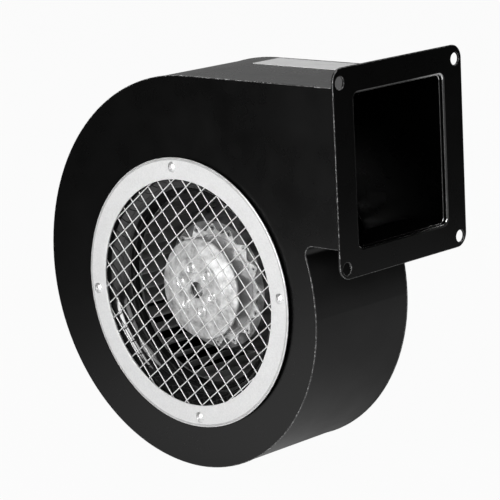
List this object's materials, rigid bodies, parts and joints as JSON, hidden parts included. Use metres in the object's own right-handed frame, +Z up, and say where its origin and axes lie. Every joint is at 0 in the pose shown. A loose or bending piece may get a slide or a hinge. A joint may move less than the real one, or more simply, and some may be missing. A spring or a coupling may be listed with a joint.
{
  "type": "centrifugal fan",
  "caption": "Centrifugal fan with a spiral sheet-steel scroll, square outlet flange, wire-guarded round inlet and a forward-curved impeller on an external-rotor motor.",
  "frame": {"origin": "centre of the outlet flange's bolt pattern, on the flange's outer face", "axes": "+X leaves the outlet, -Y faces the guarded inlet along the fan axis, +Z is up with the outlet at the top"},
  "size_m": [0.2483, 0.1106, 0.2477],
  "materials": {
    "black_powder_coat": "semi-matt powder coat",
    "gloss_black_paint": "gloss paint",
    "black_blades": "dull dark steel",
    "galvanised_steel": "zinc-coated sheet",
    "bright_wire": "bright zinc-plated wire",
    "zinc_fasteners": "zinc plated",
    "bearing_steel": "ground steel",
    "cast_aluminium": "as cast",
    "lamination_iron": "oiled laminations",
    "copper_winding": "enamelled copper",
    "insulator_plastic": "moulded nylon",
    "grommet_rubber": "moulded rubber"
  },
  "bodies": {
    "housing": {"front_plate": "black_powder_coat", "rear_plate": "black_powder_coat", "scroll_wrapper": "black_powder_coat", "outlet_flange": "black_powder_coat", "motor_plate": "black_powder_coat", "inlet_nozzle": "gloss_black_paint", "guard_ring": "galvanised_steel", "guard_rivets": "galvanised_steel", "bearing_cap": "galvanised_steel", "bearing_shields": "galvanised_steel", "guard_wires_front": "bright_wire", "guard_wires_back": "bright_wire", "plate_screws": "zinc_fasteners", "plate_nuts": "zinc_fasteners", "motor_screws": "zinc_fasteners", "motor_nuts": "zinc_fasteners", "bearing_tube": "bearing_steel", "bearing_outer_rings": "bearing_steel", "motor_flange": "cast_aluminium", "stator_core": "lamination_iron", "stator_windings": "copper_winding", "stator_insulators": "insulator_plastic", "cable_grommet": "grommet_rubber"},
    "rotor": {"rotor_can": "galvanised_steel", "rotor_studs": "zinc_fasteners", "rotor_hub": "cast_aluminium", "shaft": "bearing_steel", "shaft_circlip": "bearing_steel", "bearing_inner_rings": "bearing_steel", "bearing_balls": "bearing_steel", "rotor_core": "lamination_iron", "rotor_end_rings": "cast_aluminium", "petal_ring": "galvanised_steel", "hub_eyelets": "zinc_fasteners", "impeller_hub": "galvanised_steel", "impeller_blades": "black_blades", "impeller_rim": "galvanised_steel"}
  },
  "joints": [
    {"name": "rotor_spin", "type": "hinge", "parent": "housing", "child": "rotor", "pos_m": [-0.1321, 0, -0.08225], "axis": [0, 1, 0], "continuous": true}
  ]
}
